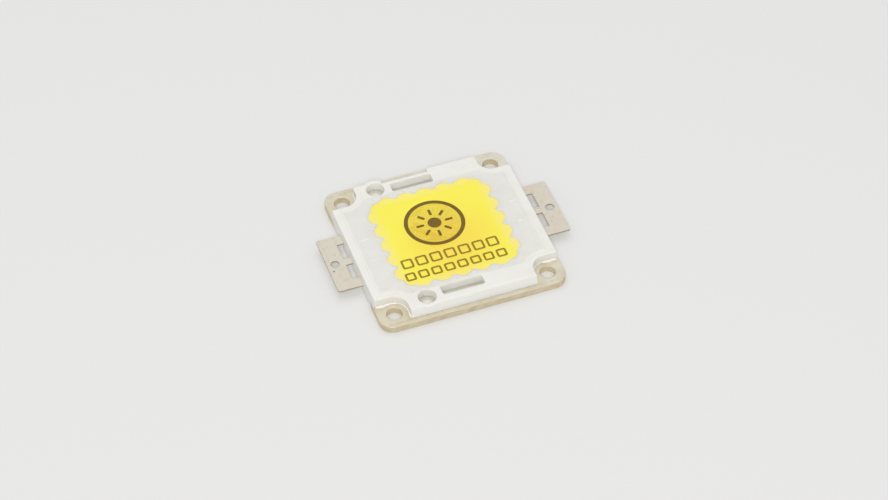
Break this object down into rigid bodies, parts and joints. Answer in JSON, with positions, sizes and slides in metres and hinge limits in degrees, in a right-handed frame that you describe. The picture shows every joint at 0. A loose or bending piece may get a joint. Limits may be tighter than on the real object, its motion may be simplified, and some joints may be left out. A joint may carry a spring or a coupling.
{
  "type": "cob led",
  "caption": "Square high-power chip-on-board LED module: plated copper base, white moulded frame, yellow phosphor window under a printed film, and a solder lead on each side.",
  "frame": {"origin": "middle of the copper plate's underside, the face that is clamped to a heat sink", "axes": "+X towards the negative lead, +Y towards the frame's notched rear edge, +Z out of the light-emitting side"},
  "size_m": [0.0504, 0.04, 0.0036],
  "materials": {
    "plated_copper": "satin silver plating over copper, slightly warm, with fine rolling marks",
    "white_plastic": "satin moulded white plastic",
    "tinned_lead": "dull tinned strip with a fine grain",
    "phosphor_silicone": "soft satin silicone filled with yellow phosphor",
    "clear_film": "thin clear plastic film",
    "film_print": "thin dark brown print on the film",
    "die": "polished sapphire die",
    "gold_wire": "bright gold bond wire"
  },
  "bodies": {
    "root": {"base_plate": "plated_copper", "frame": "white_plastic", "lead_positive": "tinned_lead", "lead_negative": "tinned_lead", "phosphor_gel": "phosphor_silicone", "protective_film": "clear_film", "die_string_01": "die", "die_string_02": "die", "die_string_03": "die", "die_string_04": "die", "die_string_05": "die", "die_string_06": "die", "die_string_07": "die", "die_string_08": "die", "die_string_09": "die", "die_string_10": "die", "wire_string_01": "gold_wire", "wire_string_02": "gold_wire", "wire_string_03": "gold_wire", "wire_string_04": "gold_wire", "wire_string_05": "gold_wire", "wire_string_06": "gold_wire", "wire_string_07": "gold_wire", "wire_string_08": "gold_wire", "wire_string_09": "gold_wire", "wire_string_10": "gold_wire"}
  },
  "joints": []
}
